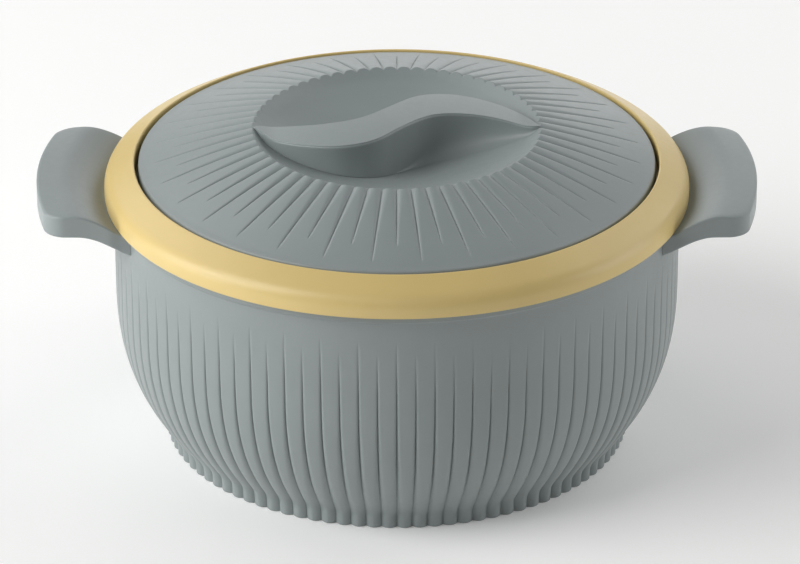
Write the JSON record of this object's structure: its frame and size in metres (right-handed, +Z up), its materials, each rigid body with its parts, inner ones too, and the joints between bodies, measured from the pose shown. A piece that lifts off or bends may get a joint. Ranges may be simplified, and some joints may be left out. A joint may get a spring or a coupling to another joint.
{
  "type": "insulated casserole",
  "caption": "Round insulated serving casserole with a fluted double-walled pot, steel bowl, rim ring, side handles and a lift-off lid with an S-shaped grip in a well.",
  "frame": {"origin": "centre of the base, on the surface that the pot stands on", "axes": "+Z up along the pot's axis, +X along the two handles, +Y away from the viewer of the pictured front"},
  "size_m": [0.321, 0.261, 0.1513],
  "materials": {
    "grey_plastic": "satin moulded polypropylene, grey-green",
    "yellow_plastic": "satin moulded polypropylene, pale yellow",
    "inner_plastic": "smooth food-safe polypropylene, light grey",
    "bowl_steel": "spun and polished stainless steel",
    "screw_steel": "zinc-plated steel",
    "foam": "rigid polyurethane foam, not seen"
  },
  "bodies": {
    "body": {"outer_shell": "grey_plastic", "inner_bowl": "bowl_steel", "rim_ring": "yellow_plastic", "body_foam": "foam", "base_cover": "grey_plastic", "base_plug": "grey_plastic", "handle_right": "grey_plastic", "handle_left": "grey_plastic", "handle_screw_right_1": "screw_steel", "handle_screw_right_2": "screw_steel", "handle_screw_left_1": "screw_steel", "handle_screw_left_2": "screw_steel"},
    "lid": {"lid_cover": "grey_plastic", "lid_grip": "grey_plastic", "lid_foam": "foam", "lid_liner": "inner_plastic", "lid_plug": "inner_plastic", "grip_screw_1": "screw_steel", "grip_screw_2": "screw_steel"}
  },
  "joints": [
    {"name": "lid_lift", "type": "slide", "parent": "body", "child": "lid", "axis": [0, 0, 1], "range_m": [0, 0.12]}
  ]
}
